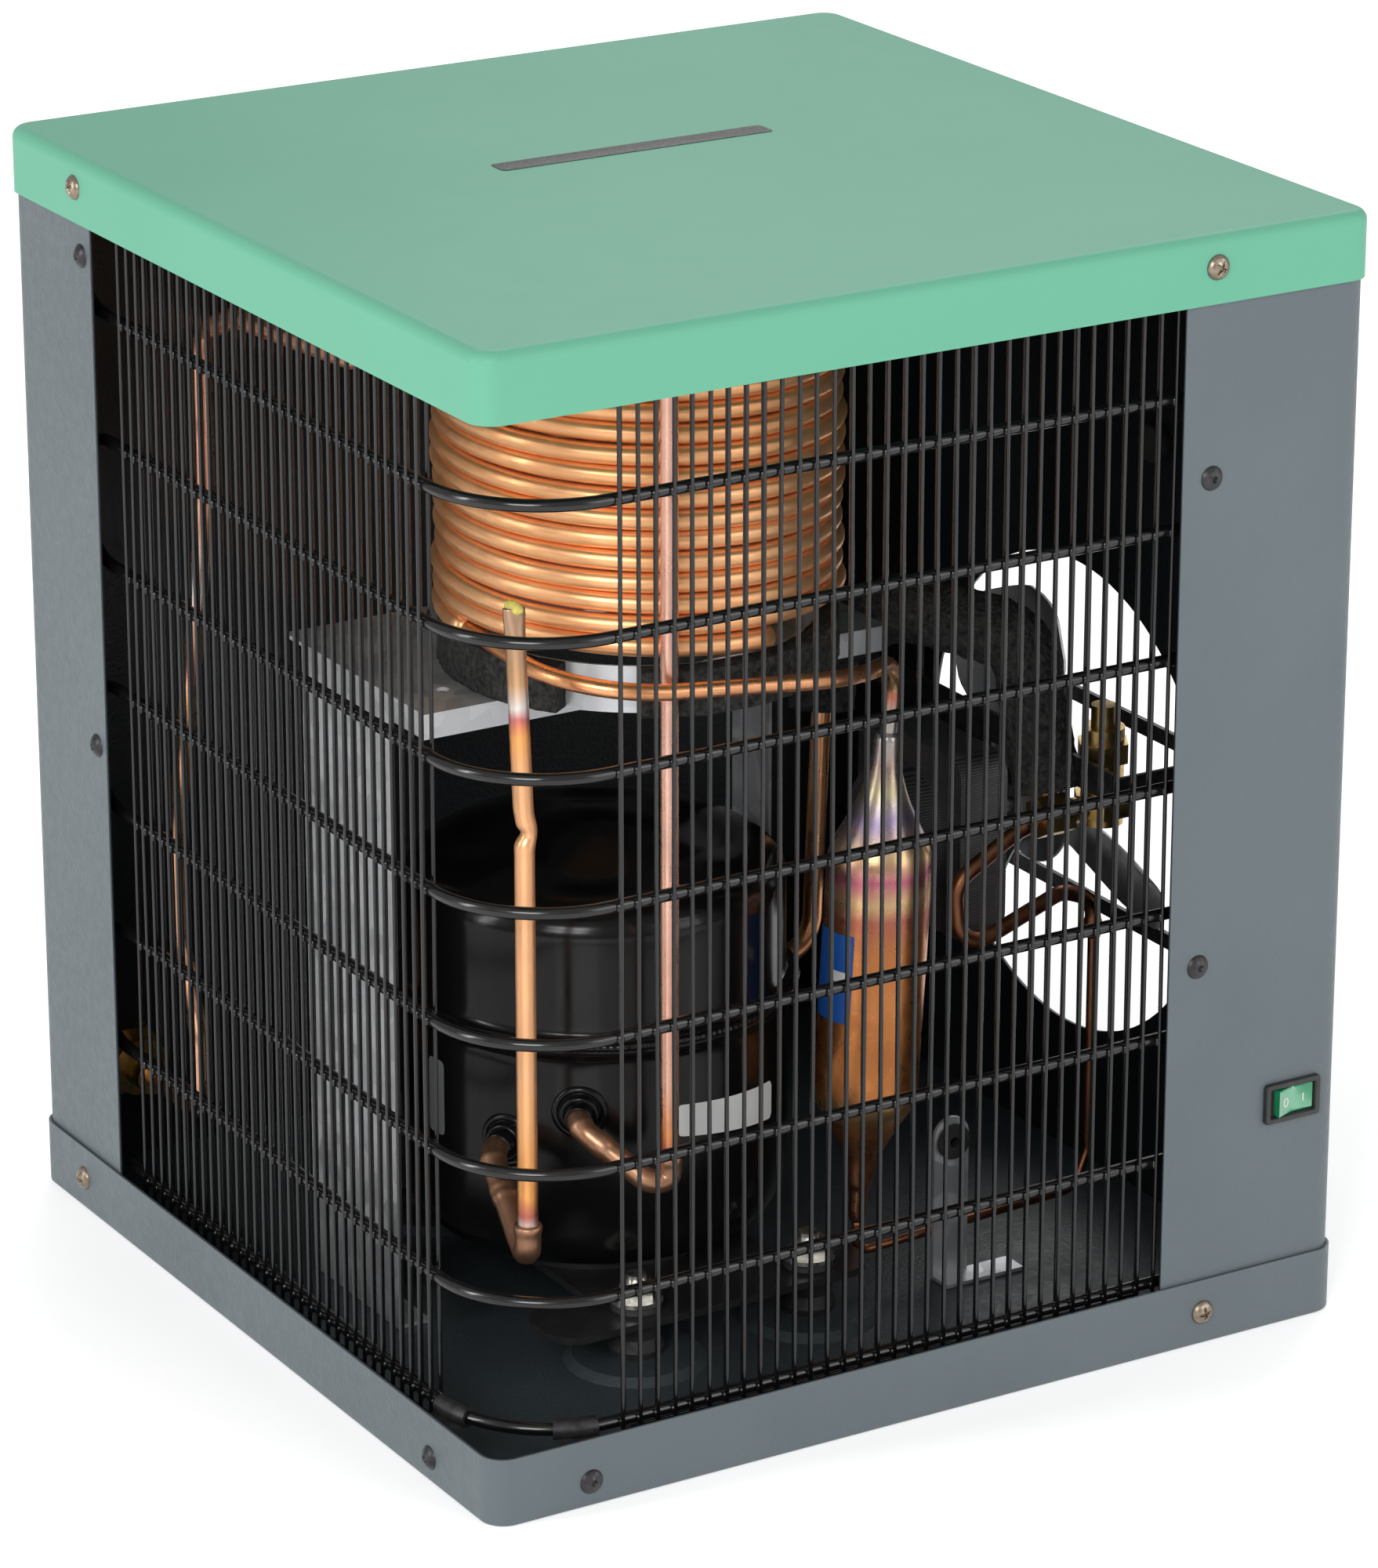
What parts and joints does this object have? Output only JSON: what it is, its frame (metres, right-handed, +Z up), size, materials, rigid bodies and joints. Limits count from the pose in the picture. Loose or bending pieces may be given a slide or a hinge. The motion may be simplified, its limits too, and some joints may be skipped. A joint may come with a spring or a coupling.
{
  "type": "hermetic reciprocating compressor in an air dryer",
  "caption": "Open-sided refrigerated air dryer: a hermetic reciprocating compressor on rubber feet, wire condenser, copper coil, fan, rocker switch and mains cord in a square case.",
  "frame": {"origin": "on the floor under the middle of the case", "axes": "+Z up, -Y out of the switch face, +X out of the fan side"},
  "size_m": [0.463, 0.5219, 0.445],
  "materials": {
    "cover_green": "gloss powder coat, mint green",
    "panel_grey": "textured powder coat, blue grey",
    "black_wire": "semi-gloss black enamel",
    "screw_nickel": "dull nickel plate",
    "rivet_black": "black oxide",
    "switch_black": "fine matte black plastic",
    "rocker_green": "translucent green plastic",
    "shell_black": "high gloss black enamel",
    "base_black": "black enamel",
    "rubber_black": "moulded rubber",
    "zinc_steel": "bright zinc plate",
    "galvanised": "galvanised sheet",
    "copper": "bright copper tube",
    "brown_copper": "darkened copper tube",
    "brass": "turned brass",
    "foam_black": "closed-cell elastomer foam",
    "cast_grey": "machined grey iron",
    "steel": "ground steel",
    "lamination": "stacked laminations",
    "winding": "enamelled copper wire",
    "aluminium": "plain aluminium",
    "terminal_black": "black terminal cover",
    "white_plastic": "moulded nylon",
    "cord_black": "black cord jacket"
  },
  "bodies": {
    "case": {"air_outlet_line": "copper", "air_ports": "brass", "base_tray": "panel_grey", "bracket_grommet": "rubber_black", "bypass_valve": "brass", "case_screws": "screw_nickel", "coil_shelf": "galvanised", "compressor_base": "base_black", "compressor_lower_shell": "shell_black", "compressor_upper_shell": "shell_black", "condensate_drain": "brass", "condenser_clips": "rivet_black", "condenser_tube": "black_wire", "condenser_wires_front": "black_wire", "condenser_wires_left": "black_wire", "cord_strain_relief": "rubber_black", "cylinder_block": "cast_grey", "cylinder_head": "aluminium", "discharge_tube": "copper", "expansion_line": "brown_copper", "fan_bracket": "rivet_black", "fan_motor": "lamination", "filter_drier": "copper", "foam_pad": "foam_black", "foam_wrapped_line": "foam_black", "foot_bolts": "zinc_steel", "foot_grommets": "rubber_black", "head_bolts": "zinc_steel", "heat_exchanger_coil_a": "copper", "heat_exchanger_coil_b": "copper", "hermetic_terminal": "steel", "left_copper_line": "copper", "line_bracket": "galvanised", "liquid_line": "copper", "overload_protector": "terminal_black", "panel_rivets": "rivet_black", "power_cord": "cord_black", "power_cord_coil": "cord_black", "power_plug": "cord_black", "process_tube": "copper", "rear_panel": "panel_grey", "shock_loop": "steel", "side_panel": "panel_grey", "start_relay": "white_plastic", "stator": "lamination", "stator_windings": "winding", "suction_line": "copper", "suction_muffler": "white_plastic", "suspension_springs": "steel", "switch_housing": "switch_black", "terminal_cover": "terminal_black", "top_cover": "cover_green", "valve_plate": "steel"},
    "rocker": {"switch_rocker": "rocker_green"},
    "crank": {"crankshaft": "steel", "rotor": "aluminium"},
    "piston": {"piston": "steel", "wrist_pin": "steel"},
    "rod": {"connecting_rod": "aluminium"},
    "fan": {"fan": "aluminium"}
  },
  "joints": [
    {"name": "rocker_tilt", "type": "hinge", "parent": "case", "child": "rocker", "pos_m": [0.165, -0.186, 0.094], "axis": [0, 0, -1], "range_deg": [0, 20]},
    {"name": "crank_turn", "type": "hinge", "parent": "case", "child": "crank", "pos_m": [-0.041, -0.008, 0.06], "axis": [0, 0, 1], "range_deg": [-20, 20]},
    {"name": "piston_slide", "type": "slide", "parent": "case", "child": "piston", "axis": [1, 0, 0], "range_m": [-0.0032, 0.0032]},
    {"name": "rod_swing", "type": "hinge", "parent": "piston", "child": "rod", "pos_m": [-0.00582, -0.008, 0.13], "axis": [0, 0, 1], "range_deg": [-1.6, 1.6]},
    {"name": "fan_spin", "type": "hinge", "parent": "case", "child": "fan", "pos_m": [0.17, 0, 0.157], "axis": [1, 0, 0], "continuous": true}
  ],
  "couplings": [
    {"joint": "piston_slide", "follows": "crank_turn", "m_per_rad": -0.008211},
    {"joint": "rod_swing", "follows": "crank_turn", "ratio": -0.06254}
  ]
}
